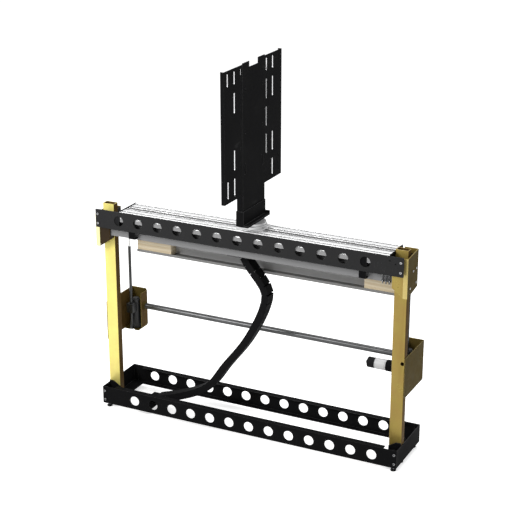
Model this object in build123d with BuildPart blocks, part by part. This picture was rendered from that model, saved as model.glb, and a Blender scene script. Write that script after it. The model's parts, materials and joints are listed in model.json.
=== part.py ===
from build123d import *
import math
import os

# Electric display lift, raised, with its head turned a quarter turn.
# Origin: on the floor, midway along the frame, in line with the head's turning axis in Y.
# X along the frame, Y to the rear, Z up.

# Base frame
BASE_L = 1500.0
BASE_D = 290.0
BEAM_H = 86.0
SHEET = 3.0
FLANGE = 25.0
FOOT_H = 22.0
FOOT_R = 13.0
HOLE_D = 47.0
HOLE_PITCH = 100.5
HOLE_START = 175.5
HOLE_START_TOP = 122.0
HOLE_END = 100.0
BASE_Z0 = FOOT_H
BASE_Z1 = BASE_Z0 + BEAM_H
X_END = BASE_L / 2
Y_FRONT = -79.0
Y_REAR = Y_FRONT + BASE_D

# Posts
POST_W = 58.0
POST_D = 35.0
POST_T = 3.0
POST_Y0 = Y_FRONT + 60.0
POST_Y1 = POST_Y0 + POST_D
POST_TOP = 1010.0
POST_X = X_END - SHEET - POST_W / 2
POST_HOLE_Z = 495.0
POST_HOLE_D = 18.0

# Drive brackets on the posts
BRK_Z0 = 330.0
BRK_Z1 = 520.0
BRK_Y1 = Y_REAR + 6.0
BRK_W = 83.0
BRK_LIP = 60.0

# Upper beam, level with the top of the raised frame
TOP_Z1 = 998.0
TOP_Z0 = TOP_Z1 - BEAM_H

# Carriages round the posts
CAR_OUT = 13.0
CAR_Y0 = POST_Y0 - 42.0
CAR_Y1 = POST_Y1 + 45.0
CAR_Z0 = 812.0
CAR_RISE = 20.0
CAR_TOP_LEFT = 978.0
CAR_TOP_RIGHT = 999.0
CAR_DROP = 10.0
CAR_LIP = 20.0
PAD_GAP = 0.05

# Rails on top of the frame
RAIL_X0 = -X_END + 126.0
RAIL_X1 = X_END - 65.5
RAIL_W = 66.0
RAIL_H = 48.0
RAIL_GAP = 14.0
RAIL_Z1 = TOP_Z1 + 1.0
RAIL_Z0 = RAIL_Z1 - RAIL_H
HEAD_Y = 0.0
RAIL_SLOT = 9.0
END_T = 4.0

# Cross rail and tray
CROSS_D = 29.7
CROSS_Z1 = RAIL_Z0
CROSS_Z0 = TOP_Z0 - 42.0
CROSS_Y0 = Y_FRONT + 30.0
TRAY_Y0 = HEAD_Y + 67.0
TRAY_Y1 = TRAY_Y0 + 54.0
TRAY_Z0 = 765.0
TRAY_LIP = 12.0
TRAY_T = 2.5
BLOCK_L = 165.0

# Shaft, motor and jacks
SHAFT_R = 14.0
SHAFT_Y = Y_REAR - 22.0
SHAFT_Z = 441.0
MOTOR_Y = SHAFT_Y - 32.0
MOTOR_Z = 392.0
MOTOR_R = 25.0
MOTOR_X0 = X_END - 238.0
MOTOR_CAP = 36.0
MOTOR_CAN = 54.0
MOTOR_RING = 32.0
MOTOR_SHAFT_R = 4.5
JACK_X = X_END - 50.0
JACK_R = 19.0
JACK_Y = SHAFT_Y - 32.0
SCREW_R = 7.0
SCREW_X = X_END - 46.0
SCREW_Y = SHAFT_Y - 61.0
SCREW_Z0 = 336.0
SCREW_TUBE_Z1 = 760.0
ROD_R = 4.5

# Head
HEAD_X = 17.0
COL_X0 = HEAD_X - 27.0
COL_X1 = HEAD_X + 3.0
COL_W = 210.0
COL_Z1 = 1747.0
NOTCH_W = 83.0
NOTCH_Z = 1722.0
PLATE_T = 3.0
PLATE_X0 = COL_X1 - PLATE_T
PLATE_CLEAR = 0.4
PLATE_FLANGE = 26.0
PLATE_Z0 = 1176.0
PLATE_Z1 = 1742.0
PLATE_Y_OUT = 272.0
FOLD = 14.0
SLOT_W = 7.5
DISC_R = 62.0
DISC_T = 12.0
SLIDER_T = 8.0
FOOT_PLATE_T = 8.0

# Cable chain
CHAIN_Y = Y_FRONT + 114.0
CHAIN_W = 56.0
CHAIN_T = 34.0
CHAIN_PITCH = 38.0
CHAIN_X0 = -X_END + 245.0

HEX = [math.radians(60 * k) for k in range(6)]

os.makedirs("parts", exist_ok=True)


def bx(x0, x1, y0, y1, z0, z1, mode=Mode.ADD):
    with Locations(((x0 + x1) / 2, (y0 + y1) / 2, (z0 + z1) / 2)):
        Box(x1 - x0, y1 - y0, z1 - z0, mode=mode)


def cx(x0, x1, y, z, r, mode=Mode.ADD):
    with Locations(((x0 + x1) / 2, y, z)):
        Cylinder(r, x1 - x0, rotation=(0, 90, 0), mode=mode)


def cy(x, y0, y1, z, r, mode=Mode.ADD):
    with Locations((x, (y0 + y1) / 2, z)):
        Cylinder(r, y1 - y0, rotation=(90, 0, 0), mode=mode)


def cz(x, y, z0, z1, r, mode=Mode.ADD):
    with Locations((x, y, (z0 + z1) / 2)):
        Cylinder(r, z1 - z0, mode=mode)


def plate_xz(y0, y1, pts, mode=Mode.ADD):
    with BuildSketch(Plane.XZ.offset(-y0)) as sk:
        with BuildLine():
            Polyline(*pts, close=True)
        make_face()
    extrude(sk.sketch, amount=-(y1 - y0), mode=mode)


def plate_yz(x0, x1, pts, mode=Mode.ADD):
    with BuildSketch(Plane.YZ.offset(x0)) as sk:
        with BuildLine():
            Polyline(*pts, close=True)
        make_face()
    extrude(sk.sketch, amount=x1 - x0, mode=mode)


def plate_xy(z0, z1, pts, mode=Mode.ADD):
    with BuildSketch(Plane.XY.offset(z0)) as sk:
        with BuildLine():
            Polyline(*pts, close=True)
        make_face()
    extrude(sk.sketch, amount=z1 - z0, mode=mode)


def save(block, node):
    block.part.label = node
    export_step(block.part, "parts/" + node + ".step")


# Beams: one folded channel with a row of round holes, used three times
def beam(z0, turned, first, top_flange=True):
    side = -1 if turned else 1
    yf = Y_REAR if turned else Y_FRONT
    z1 = z0 + BEAM_H
    ya, yb = sorted((yf, yf + side * SHEET))
    fa, fb = sorted((yf + side * SHEET, yf + side * (SHEET + FLANGE)))
    bx(-X_END, X_END, ya, yb, z0, z1)
    inset = POST_W + 6.0
    bx(-X_END + inset, X_END - inset, fa, fb, z0, z0 + SHEET)
    if top_flange:
        bx(-X_END + inset, X_END - inset, fa, fb, z1 - SHEET, z1)
    count = int((BASE_L - first - HOLE_END) / HOLE_PITCH) + 1
    for i in range(count):
        x = side * (-X_END + first + i * HOLE_PITCH)
        cy(x, ya - 1, yb + 1, z0 + BEAM_H / 2, HOLE_D / 2, Mode.SUBTRACT)


with BuildPart() as base_front_beam:
    beam(BASE_Z0, False, HOLE_START)
save(base_front_beam, "base_front_beam")

with BuildPart() as base_rear_beam:
    beam(BASE_Z0, True, HOLE_START)
save(base_rear_beam, "base_rear_beam")

# End plates: web, floor flange that carries the post, and tabs behind the beams
def base_end(s):
    x1 = s * X_END
    x0 = s * (X_END - SHEET)
    xa, xb = sorted((x0, x1))
    bx(xa, xb, Y_FRONT + SHEET, Y_REAR - SHEET, BASE_Z0, BASE_Z1)
    fa, fb = sorted((x0, s * (X_END - POST_W - 5)))
    bx(fa, fb, Y_FRONT + SHEET, Y_REAR - SHEET, BASE_Z0, BASE_Z0 + SHEET)
    ta, tb = sorted((x0, s * (X_END - 25)))
    bx(ta, tb, Y_FRONT + SHEET, Y_FRONT + 2 * SHEET, BASE_Z0 + SHEET, BASE_Z1)
    bx(ta, tb, Y_REAR - 2 * SHEET, Y_REAR - SHEET, BASE_Z0 + SHEET, BASE_Z1)


with BuildPart() as base_end_left:
    base_end(-1)
save(base_end_left, "base_end_left")

with BuildPart() as base_end_right:
    base_end(1)
save(base_end_right, "base_end_right")

# Corner gussets in front of the posts
GUS_Y1 = POST_Y0 - PAD_GAP
GUS_RISE = 10.0


def gusset(s):
    wall = s * (X_END - SHEET)
    heel = s * (X_END - POST_W - 4)
    plate_xz(
        GUS_Y1 - SHEET,
        GUS_Y1,
        [
            (wall, BASE_Z0 + SHEET),
            (wall, BASE_Z1 + GUS_RISE),
            (s * (X_END - 26), BASE_Z1 + GUS_RISE),
            (heel, BASE_Z1 - 12),
            (heel, BASE_Z0 + SHEET),
        ],
    )


with BuildPart() as corner_gussets:
    gusset(-1)
    gusset(1)
save(corner_gussets, "corner_gussets")

# Adjustable feet: pad, stud and lock nut in one
with BuildPart() as base_feet:
    for s in (-1, 1):
        for fy in (Y_FRONT + 22, POST_Y0 + POST_D + 14, Y_REAR - 22):
            fx = s * (X_END - 22)
            cz(fx, fy, 0, 8, FOOT_R)
            cz(fx, fy, 8, BASE_Z0 - 6, 5)
            nut = [(fx + 9 * math.cos(a), fy + 9 * math.sin(a)) for a in HEX]
            plate_xy(BASE_Z0 - 6, BASE_Z0, nut)
save(base_feet, "base_feet")

# Posts
def post(s):
    x0 = s * POST_X - POST_W / 2
    x1 = x0 + POST_W
    z0 = BASE_Z0 + SHEET
    bx(x0, x1, POST_Y0, POST_Y1, z0, POST_TOP)
    bx(x0 + POST_T, x1 - POST_T, POST_Y0 + POST_T, POST_Y1 - POST_T, z0 - 1, POST_TOP + 1,
       Mode.SUBTRACT)
    vert = [e for e in edges().filter_by(Axis.Z) if abs(abs(e.center().X - s * POST_X) - POST_W / 2) < 0.1]
    fillet(vert, 2.5)


with BuildPart() as post_left:
    post(-1)
save(post_left, "post_left")

with BuildPart() as post_right:
    post(1)
    cy(X_END - 12, POST_Y0 - 1, POST_Y0 + POST_T + 1, POST_HOLE_Z, POST_HOLE_D / 2, Mode.SUBTRACT)
save(post_right, "post_right")

# Drive brackets: outer wall on the post's side, back wall, short inner wall
def drive_bracket(s):
    xo = s * X_END
    xi = s * (X_END - SHEET)
    xa, xb = sorted((xo, xi))
    bx(xa, xb, POST_Y0, BRK_Y1, BRK_Z0, BRK_Z1)
    wa, wb = sorted((xi, s * (X_END - BRK_W + SHEET)))
    bx(wa, wb, BRK_Y1 - SHEET, BRK_Y1, BRK_Z0, BRK_Z1)
    ia, ib = sorted((s * (X_END - BRK_W), s * (X_END - BRK_W + SHEET)))
    bx(ia, ib, BRK_Y1 - BRK_LIP, BRK_Y1, BRK_Z0 + 6, BRK_Z1 - 8)
    cx(ia - 1, ib + 1, SHAFT_Y, SHAFT_Z, SHAFT_R + 1.5, Mode.SUBTRACT)
    cx(xa - 1, xb + 1, SHAFT_Y, SHAFT_Z, 6, Mode.SUBTRACT)
    shelf_a, shelf_b = sorted((xi, s * (X_END - BRK_W + SHEET)))
    bx(shelf_a, shelf_b, JACK_Y - 26, BRK_Y1 - SHEET, BRK_Z0, BRK_Z0 + SHEET)
    cz(s * SCREW_X, SCREW_Y, BRK_Z0 - 1, BRK_Z0 + SHEET + 1, SCREW_R + 5, Mode.SUBTRACT)


with BuildPart() as drive_bracket_left:
    drive_bracket(-1)
save(drive_bracket_left, "drive_bracket_left")

with BuildPart() as drive_bracket_right:
    drive_bracket(1)
save(drive_bracket_right, "drive_bracket_right")

# Jack housings: an upright gear housing beside the lift screw, with a nut box in front
JACK_Z0 = BRK_Z0 + SHEET
JACK_Z1 = JACK_Z0 + 148.0
NUT_BOX = 30.0
NUT_Z0 = JACK_Z0 + 96.0
NUT_H = 34.0
NUT_R = 12.5
NUT_RUN = 0.05


def jack(s):
    x = s * JACK_X
    cz(x, JACK_Y + 8, JACK_Z0, JACK_Z1, JACK_R)
    cz(x, JACK_Y + 8, JACK_Z1, JACK_Z1 + 5, JACK_R - 5)
    sx = s * SCREW_X
    bx(sx - 17, sx + 17, SCREW_Y - 17, SCREW_Y + 32, NUT_Z0 - 5, NUT_Z0 + NUT_H + 5)
    cz(sx, SCREW_Y, NUT_Z0, NUT_Z0 + NUT_H, NUT_R + NUT_RUN, Mode.SUBTRACT)
    cz(sx, SCREW_Y, NUT_Z0 - 6, NUT_Z0 + NUT_H + 6, SCREW_R + 1.2, Mode.SUBTRACT)


with BuildPart() as jack_housing_left:
    jack(-1)
save(jack_housing_left, "jack_housing_left")

with BuildPart() as jack_housing_right:
    jack(1)
save(jack_housing_right, "jack_housing_right")


def lift_nut(s):
    sx = s * SCREW_X
    cz(sx, SCREW_Y, NUT_Z0 + NUT_RUN, NUT_Z0 + NUT_H - NUT_RUN, NUT_R)
    cz(sx, SCREW_Y, NUT_Z0 - 1, NUT_Z0 + NUT_H + 1, SCREW_R + NUT_RUN, Mode.SUBTRACT)


with BuildPart() as lift_nut_left:
    lift_nut(-1)
save(lift_nut_left, "lift_nut_left")

with BuildPart() as lift_nut_right:
    lift_nut(1)
save(lift_nut_right, "lift_nut_right")

# Cross shaft with a turned-down journal at each end
SHAFT_END = X_END - BRK_W + SHEET + 14
JOURNAL_R = 8.0
BEARING_R = 22.0
BEARING_T = 8.0
BRK_IN = X_END - BRK_W

with BuildPart() as cross_shaft:
    cx(-BRK_IN + BEARING_T, BRK_IN - BEARING_T, SHAFT_Y, SHAFT_Z, SHAFT_R)
    cx(-SHAFT_END, SHAFT_END, SHAFT_Y, SHAFT_Z, JOURNAL_R)
save(cross_shaft, "cross_shaft")

with BuildPart() as shaft_bearings:
    for s in (-1, 1):
        a, b = sorted((s * BRK_IN, s * (BRK_IN - BEARING_T + 0.3)))
        cx(a, b, SHAFT_Y, SHAFT_Z, BEARING_R)
        cx(a - 1, b + 1, SHAFT_Y, SHAFT_Z, JOURNAL_R + 0.05, Mode.SUBTRACT)
save(shaft_bearings, "shaft_bearings")

# Gear case on the right bracket, with the motor on its left side
CASE_X0 = MOTOR_X0 + MOTOR_CAP + MOTOR_CAN + MOTOR_RING
CASE_X1 = BRK_IN - BEARING_T - 1.0
GEAR_R = 26.0
GEAR_T = 12.0
GEAR_X0 = CASE_X0 + 6
CASE_WALL = 4.0
CASE_R = MOTOR_R + 4.0
PIN_R = math.hypot(SHAFT_Y - MOTOR_Y, SHAFT_Z - MOTOR_Z) - GEAR_R - 0.4

with BuildPart() as gear_case:
    bx(CASE_X0, CASE_X1, MOTOR_Y - CASE_R, SHAFT_Y + CASE_R - 4, MOTOR_Z - CASE_R, SHAFT_Z + CASE_R + 5)
    cx(CASE_X0 + CASE_WALL, CASE_X1 - CASE_WALL, SHAFT_Y, SHAFT_Z, GEAR_R + 2, Mode.SUBTRACT)
    cx(CASE_X0 + CASE_WALL, CASE_X1 - CASE_WALL, MOTOR_Y, MOTOR_Z, PIN_R + 2, Mode.SUBTRACT)
    cx(CASE_X0 - 1, CASE_X1 + 1, SHAFT_Y, SHAFT_Z, SHAFT_R + 1, Mode.SUBTRACT)
    cx(CASE_X0 - 1, CASE_X0 + CASE_WALL + 1, MOTOR_Y, MOTOR_Z, 6, Mode.SUBTRACT)
save(gear_case, "gear_case")


def toothed(x0, x1, y, z, r, n, turn, bore):
    depth = 3.0
    pts = []
    for k in range(n):
        for f, q in ((-0.3, r - depth), (-0.16, r), (0.16, r), (0.3, r - depth)):
            a = 2 * math.pi * (k + f + turn) / n
            pts.append((y + q * math.cos(a), z + q * math.sin(a)))
    plate_yz(x0, x1, pts)
    if bore:
        cx(x0 - 1, x1 + 1, y, z, bore, Mode.SUBTRACT)


with BuildPart() as shaft_gear:
    toothed(GEAR_X0, GEAR_X0 + GEAR_T, SHAFT_Y, SHAFT_Z, GEAR_R, 24, 0.0, SHAFT_R)
save(shaft_gear, "shaft_gear")

with BuildPart() as motor_pinion:
    toothed(GEAR_X0, GEAR_X0 + GEAR_T, MOTOR_Y, MOTOR_Z, PIN_R, 26, 0.5, 0)
    cx(CASE_X0 - MOTOR_RING + 2, GEAR_X0, MOTOR_Y, MOTOR_Z, MOTOR_SHAFT_R)
save(motor_pinion, "motor_pinion")

CAP_GROOVES = 16
with BuildPart() as motor_cap:
    cx(MOTOR_X0, MOTOR_X0 + MOTOR_CAP, MOTOR_Y, MOTOR_Z, MOTOR_R - 1)
    fillet(edges().group_by(Axis.X)[0], 3)
    cx(MOTOR_X0 - 7, MOTOR_X0, MOTOR_Y, MOTOR_Z, 9)
    with Locations(Plane.YZ.offset(MOTOR_X0 + MOTOR_CAP / 2).move(Location((0, MOTOR_Y, MOTOR_Z)))):
        with PolarLocations(MOTOR_R - 1, CAP_GROOVES):
            Box(2.4, 2.4, MOTOR_CAP - 12, mode=Mode.SUBTRACT)
save(motor_cap, "motor_cap")

with BuildPart() as motor_can:
    m0 = MOTOR_X0 + MOTOR_CAP
    cx(m0, m0 + MOTOR_CAN, MOTOR_Y, MOTOR_Z, MOTOR_R)
save(motor_can, "motor_can")

with BuildPart() as motor_ring:
    m1 = MOTOR_X0 + MOTOR_CAP + MOTOR_CAN
    cx(m1, m1 + MOTOR_RING, MOTOR_Y, MOTOR_Z, MOTOR_R + 1)
    cx(m1 + 1, m1 + MOTOR_RING + 1, MOTOR_Y, MOTOR_Z, MOTOR_SHAFT_R + PAD_GAP, Mode.SUBTRACT)
save(motor_ring, "motor_ring")

# Upper beam: the base beam once more, without its top flange
with BuildPart() as upper_beam:
    beam(TOP_Z0, False, HOLE_START_TOP, False)
    for hx, hz in ((X_END - 62, TOP_Z1 - 20), (X_END - 36, TOP_Z1 - 32)):
        cy(hx, Y_FRONT - 1, Y_FRONT + SHEET + 1, hz, 3, Mode.SUBTRACT)
save(upper_beam, "upper_beam")

# Carriages: folded plates that wrap the posts from outside
CAR_X = X_END + CAR_OUT
REAR_LIP = 62.0
CAR_SCREWS = [
    (CAR_Y1 - 22, CAR_Z0 + 108),
    (CAR_Y1 - 60, CAR_Z0 + 106),
    (CAR_Y1 - 22, CAR_Z0 + 44),
    (CAR_Y0 + 30, CAR_Z0 + 38),
]


def carriage(s, top):
    a, b = sorted((s * CAR_X, s * (CAR_X - SHEET)))
    wall = [
        (CAR_Y0, CAR_Z0),
        (CAR_Y1, CAR_Z0 + CAR_RISE),
        (CAR_Y1, top),
        (CAR_Y0, top - CAR_DROP),
    ]
    plate_yz(a, b, wall)
    fa, fb = sorted((s * CAR_X, s * (CAR_X - CAR_LIP)))
    bx(fa, fb, CAR_Y0, CAR_Y0 + SHEET, CAR_Z0, top - CAR_DROP)
    ra, rb = sorted((s * CAR_X, s * (CAR_X - REAR_LIP)))
    bx(ra, rb, CAR_Y1 - SHEET, CAR_Y1, CAR_Z0 + CAR_RISE, top)
    for sy, sz in CAR_SCREWS:
        cx(a - 1, b + 1, sy, sz, 3.2, Mode.SUBTRACT)


with BuildPart() as carriage_left:
    carriage(-1, CAR_TOP_LEFT)
save(carriage_left, "carriage_left")

with BuildPart() as carriage_right:
    carriage(1, CAR_TOP_RIGHT)
save(carriage_right, "carriage_right")

# Front guides between the carriage and the post's front face
GUIDE_IN = X_END - 58.0
GUIDE_RISE = 36.0


def front_guide(s):
    xo = s * (CAR_X - CAR_LIP)
    xi = s * GUIDE_IN
    top = CAR_TOP_LEFT - CAR_DROP - 2
    plate_xz(
        CAR_Y0 + SHEET,
        POST_Y0 - PAD_GAP,
        [(xo, CAR_Z0 + 2), (xo, top), (xi, top), (xi, CAR_Z0 + 2 + GUIDE_RISE)],
    )
    wa, wb = sorted((xo, s * (CAR_X - SHEET)))
    bx(wa, wb, CAR_Y0 + SHEET, POST_Y0 - PAD_GAP, CAR_Z0 + 30, top)


with BuildPart() as front_guide_left:
    front_guide(-1)
save(front_guide_left, "front_guide_left")

with BuildPart() as front_guide_right:
    front_guide(1)
save(front_guide_right, "front_guide_right")

# Rear guides between the post's rear face and the carriage's rear lip
with BuildPart() as rear_guides:
    for s in (-1, 1):
        ga, gb = sorted((s * (CAR_X - SHEET), s * (X_END - POST_W + 8)))
        for gz in (CAR_Z0 + CAR_RISE + 8, CAR_TOP_LEFT - 50):
            bx(ga, gb, POST_Y1 + PAD_GAP, CAR_Y1 - SHEET, gz, gz + 46)
save(rear_guides, "rear_guides")

# Spacers that hold the upper beam to the front guides
with BuildPart() as beam_spacers:
    for s in (-1, 1):
        ga, gb = sorted((s * (CAR_X - CAR_LIP - 2), s * GUIDE_IN))
        bx(ga, gb, Y_FRONT + SHEET, CAR_Y0 + SHEET, TOP_Z0 + 6, TOP_Z1 - 6)
    bx(-GUIDE_IN, RAIL_X0 - END_T, Y_FRONT + SHEET, CAR_Y0 + SHEET, TOP_Z0 + 6, TOP_Z1 - 6)
save(beam_spacers, "beam_spacers")


# Rails: two hollow extrusions with slots
def rail_profile(yc):
    y0 = yc - RAIL_W / 2
    y1 = yc + RAIL_W / 2
    bx(RAIL_X0, RAIL_X1, y0, y1, RAIL_Z0, RAIL_Z1)
    bx(RAIL_X0 - 1, RAIL_X1 + 1, y0 + 4, y1 - 4, RAIL_Z0 + 4, RAIL_Z1 - 14, Mode.SUBTRACT)
    for off in (-16, 16):
        bx(RAIL_X0 - 1, RAIL_X1 + 1, yc + off - RAIL_SLOT / 2, yc + off + RAIL_SLOT / 2,
           RAIL_Z1 - 7, RAIL_Z1 + 1, Mode.SUBTRACT)
    groove = RAIL_Z0 + RAIL_H / 2
    bx(RAIL_X0 - 1, RAIL_X1 + 1, y0 - 1, y0 + 2, groove - 4, groove + 4, Mode.SUBTRACT)


RAIL_Y = RAIL_GAP / 2 + RAIL_W / 2
with BuildPart() as rail_front:
    rail_profile(HEAD_Y - RAIL_Y)
save(rail_front, "rail_front")

with BuildPart() as rail_rear:
    rail_profile(HEAD_Y + RAIL_Y)
save(rail_rear, "rail_rear")

with BuildPart() as rail_ends:
    for x in (RAIL_X0 - END_T, RAIL_X1):
        bx(x, x + END_T, HEAD_Y - RAIL_Y - RAIL_W / 2, HEAD_Y + RAIL_Y + RAIL_W / 2, RAIL_Z0, RAIL_Z1 + 3)
save(rail_ends, "rail_ends")

# Cross rail from guide to guide, under the rails
with BuildPart() as cross_rail:
    bx(-GUIDE_IN, GUIDE_IN, CROSS_Y0, CROSS_Y0 + CROSS_D, CROSS_Z0, CROSS_Z1)
    bx(-GUIDE_IN - 1, GUIDE_IN + 1, CROSS_Y0 + 3, CROSS_Y0 + CROSS_D - 3, CROSS_Z0 + 3, CROSS_Z1 - 3,
       Mode.SUBTRACT)
    bx(-GUIDE_IN - 1, GUIDE_IN + 1, CROSS_Y0 - 1, CROSS_Y0 + 1.5, CROSS_Z0 + 28, CROSS_Z0 + 36,
       Mode.SUBTRACT)
save(cross_rail, "cross_rail")

# Black hangers under the upper beam
HANG_W = 34.0
HANG_RISE = 72.0
HANG_X = (-X_END + 188, X_END - 184)
with BuildPart() as hangers:
    for hx in HANG_X:
        bx(hx - HANG_W / 2, hx + HANG_W / 2, Y_FRONT + SHEET, CROSS_Y0, TOP_Z0 - 34, TOP_Z0)
        bx(hx - HANG_W / 2, hx + HANG_W / 2, Y_FRONT + 2 * SHEET, CROSS_Y0, TOP_Z0 - 31, TOP_Z0 - 3,
           Mode.SUBTRACT)
        bx(hx - HANG_W / 2, hx + HANG_W / 2, Y_FRONT + SHEET, Y_FRONT + 2 * SHEET - 0.3, TOP_Z0 + SHEET,
           TOP_Z0 + HANG_RISE)
save(hangers, "hangers")

# Tray behind the cross rail: web, floor and front lip, hung from the rear rail
with BuildPart() as tray:
    bx(RAIL_X0, RAIL_X1, TRAY_Y1 - TRAY_T, TRAY_Y1, TRAY_Z0, RAIL_Z0 - TRAY_T)
    bx(RAIL_X0, RAIL_X1, TRAY_Y0, TRAY_Y1, TRAY_Z0, TRAY_Z0 + TRAY_T)
    bx(RAIL_X0, RAIL_X1, TRAY_Y0, TRAY_Y0 + TRAY_T, TRAY_Z0, TRAY_Z0 + TRAY_LIP)
    bx(RAIL_X0, RAIL_X1, HEAD_Y + RAIL_GAP, TRAY_Y1, RAIL_Z0 - TRAY_T, RAIL_Z0)
save(tray, "tray")

# Wood blocks in the tray
BLOCK_TOP = CROSS_Z0 + 6.0
with BuildPart() as wood_blocks:
    for x0, x1 in ((RAIL_X0 + 2, RAIL_X0 + 2 + BLOCK_L + 14), (RAIL_X1 - 2 - BLOCK_L, RAIL_X1 - 2)):
        bx(x0, x1, TRAY_Y0 + TRAY_T, TRAY_Y1 - TRAY_T, TRAY_Z0 + TRAY_T, BLOCK_TOP)
save(wood_blocks, "wood_blocks")

# Lift screws with a thin rod on top, and the arms that hold them
ARM_Z0 = CROSS_Z0 + 10.0
ARM_T = 8.0
ARM_HALF = 12.0


def lift_screw(s):
    sx = s * SCREW_X
    cz(sx, SCREW_Y, SCREW_Z0, SCREW_TUBE_Z1, SCREW_R)
    cz(sx, SCREW_Y, SCREW_TUBE_Z1, ARM_Z0 + ARM_T + 10, ROD_R)
    cz(sx, SCREW_Y, ARM_Z0 + ARM_T, ARM_Z0 + ARM_T + 8, ROD_R + 5)


with BuildPart() as lift_screw_left:
    lift_screw(-1)
save(lift_screw_left, "lift_screw_left")

with BuildPart() as lift_screw_right:
    lift_screw(1)
save(lift_screw_right, "lift_screw_right")

with BuildPart() as lift_arms:
    for s in (-1, 1):
        aa, ab = sorted((s * (SCREW_X + ARM_HALF), s * (SCREW_X - ARM_HALF)))
        bx(aa, ab, CAR_Y1, SCREW_Y + ARM_HALF, ARM_Z0, ARM_Z0 + ARM_T)
        bx(aa, ab, CAR_Y1, CAR_Y1 + 5, ARM_Z0 + ARM_T, ARM_Z0 + 50)
        cz(s * SCREW_X, SCREW_Y, ARM_Z0 - 1, ARM_Z0 + ARM_T + 1, ROD_R, Mode.SUBTRACT)
save(lift_arms, "lift_arms")

# Slider on the rails, with a key between them
with BuildPart() as head_slider:
    z0 = RAIL_Z1 + PAD_GAP
    bx(HEAD_X - 62, HEAD_X + 62, HEAD_Y - 50, HEAD_Y + 50, z0, z0 + SLIDER_T)
    bx(HEAD_X - 56, HEAD_X + 56, HEAD_Y - RAIL_GAP / 2 + PAD_GAP, HEAD_Y + RAIL_GAP / 2 - PAD_GAP,
       RAIL_Z0 + 8, z0)
    cz(HEAD_X, HEAD_Y, z0 - 20, z0 + SLIDER_T + 1, 6 + PAD_GAP, Mode.SUBTRACT)
    fillet(edges().filter_by(Axis.Z).group_by(Axis.Z)[-1], 4)
save(head_slider, "head_slider")

DISC_Z0 = RAIL_Z1 + SLIDER_T + 2 * PAD_GAP
DISC_Z1 = DISC_Z0 + DISC_T
with BuildPart() as turntable:
    cz(HEAD_X, HEAD_Y, DISC_Z0, DISC_Z1, DISC_R)
    chamfer(edges().group_by(Axis.Z)[-1], 1)
    cz(HEAD_X, HEAD_Y, DISC_Z0 - SLIDER_T, DISC_Z0, 6)
save(turntable, "turntable")

# Foot bracket: round flange, base plate, front plate and two cheeks round the column's foot
FLANGE_R = 57.0
FLANGE_T = 12.0
FOOT_Z0 = DISC_Z1 + FLANGE_T
FOOT_Z1 = FOOT_Z0 + FOOT_PLATE_T
FOOT_TOP = FOOT_Z1 + 62.0
FOOT_OUT = 25.0
EAR_H = 12.0
COL_Y0 = HEAD_Y - COL_W / 2
COL_Y1 = HEAD_Y + COL_W / 2
with BuildPart() as foot_bracket:
    cz(HEAD_X, HEAD_Y, DISC_Z1, FOOT_Z0, FLANGE_R)
    bx(COL_X0 - SHEET, COL_X1 + FOOT_OUT, COL_Y0 - SHEET, COL_Y1 + SHEET, FOOT_Z0, FOOT_Z1)
    bx(COL_X0 - SHEET, COL_X1, COL_Y0 - SHEET, COL_Y0, FOOT_Z1, FOOT_TOP)
    bx(COL_X1, COL_X1 + SHEET, COL_Y0 - SHEET, COL_Y1 + SHEET, FOOT_Z1, FOOT_TOP)
    plate_xz(
        COL_Y1,
        COL_Y1 + SHEET,
        [
            (COL_X0 - SHEET, FOOT_Z1),
            (COL_X0 - SHEET, FOOT_TOP),
            (COL_X1, FOOT_TOP),
            (COL_X1, FOOT_Z1 + EAR_H),
            (COL_X1 + FOOT_OUT, FOOT_Z1 + EAR_H),
            (COL_X1 + FOOT_OUT, FOOT_Z1),
        ],
    )
save(foot_bracket, "foot_bracket")

# Column: deep channel with a notched web and height-setting holes
COL_Z0 = FOOT_Z1
COL_WALL_Z1 = 1697.0
COL_HOLE_Y = 83.0
COL_HOLE_R = 6.0
COL_SLOT = 48.0


def long_slots(x0, x1, spots, width):
    with BuildSketch(Plane.YZ.offset(x0)) as sk:
        for y, za, zb in spots:
            with Locations((y, (za + zb) / 2)):
                SlotOverall(zb - za, width, rotation=90)
    extrude(sk.sketch, amount=x1 - x0, mode=Mode.SUBTRACT)


with BuildPart() as column:
    bx(COL_X0, COL_X1, COL_Y0, COL_Y1, COL_Z0, COL_WALL_Z1)
    bx(COL_X1 - SHEET, COL_X1, COL_Y0, COL_Y1, COL_WALL_Z1, COL_Z1)
    bx(COL_X0 - 1, COL_X1 - SHEET, COL_Y0 + SHEET, COL_Y1 - SHEET, COL_Z0 - 1, COL_WALL_Z1 + 1, Mode.SUBTRACT)
    bx(COL_X1 - SHEET - 1, COL_X1 + 1, HEAD_Y - NOTCH_W / 2, HEAD_Y + NOTCH_W / 2, NOTCH_Z, COL_Z1 + 1,
       Mode.SUBTRACT)
    for side in (-1, 1):
        for zc in (PLATE_Z0 + 272, PLATE_Z0 + 453):
            cx(COL_X1 - SHEET - 1, COL_X1 + 1, HEAD_Y + side * COL_HOLE_Y, zc, COL_HOLE_R, Mode.SUBTRACT)
    low = PLATE_Z0 + 112
    spots = [(HEAD_Y + side * COL_HOLE_Y, low - COL_SLOT / 2, low + COL_SLOT / 2) for side in (-1, 1)]
    long_slots(COL_X1 - SHEET - 1, COL_X1 + 1, spots, 2 * COL_HOLE_R)
save(column, "column")

# Display plates: angle plates with columns of slots and a folded outer edge
ROW_PITCH = 122.5
ROW_LEN = 86.0
ROW_Z = PLATE_Z0 + 9.5
SLOT_LOW = PLATE_Z0 + 21.0
SLOT_HIGH = PLATE_Z1 - 13.0
SLOT_IN = COL_W / 2 + 15.5
COL_PITCH = 60.5
ROWS_IN = (1, 2, 3, 4)
ROWS_MID = (0, 1, 3, 4)
ROWS_OUT = (0, 4)


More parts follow.
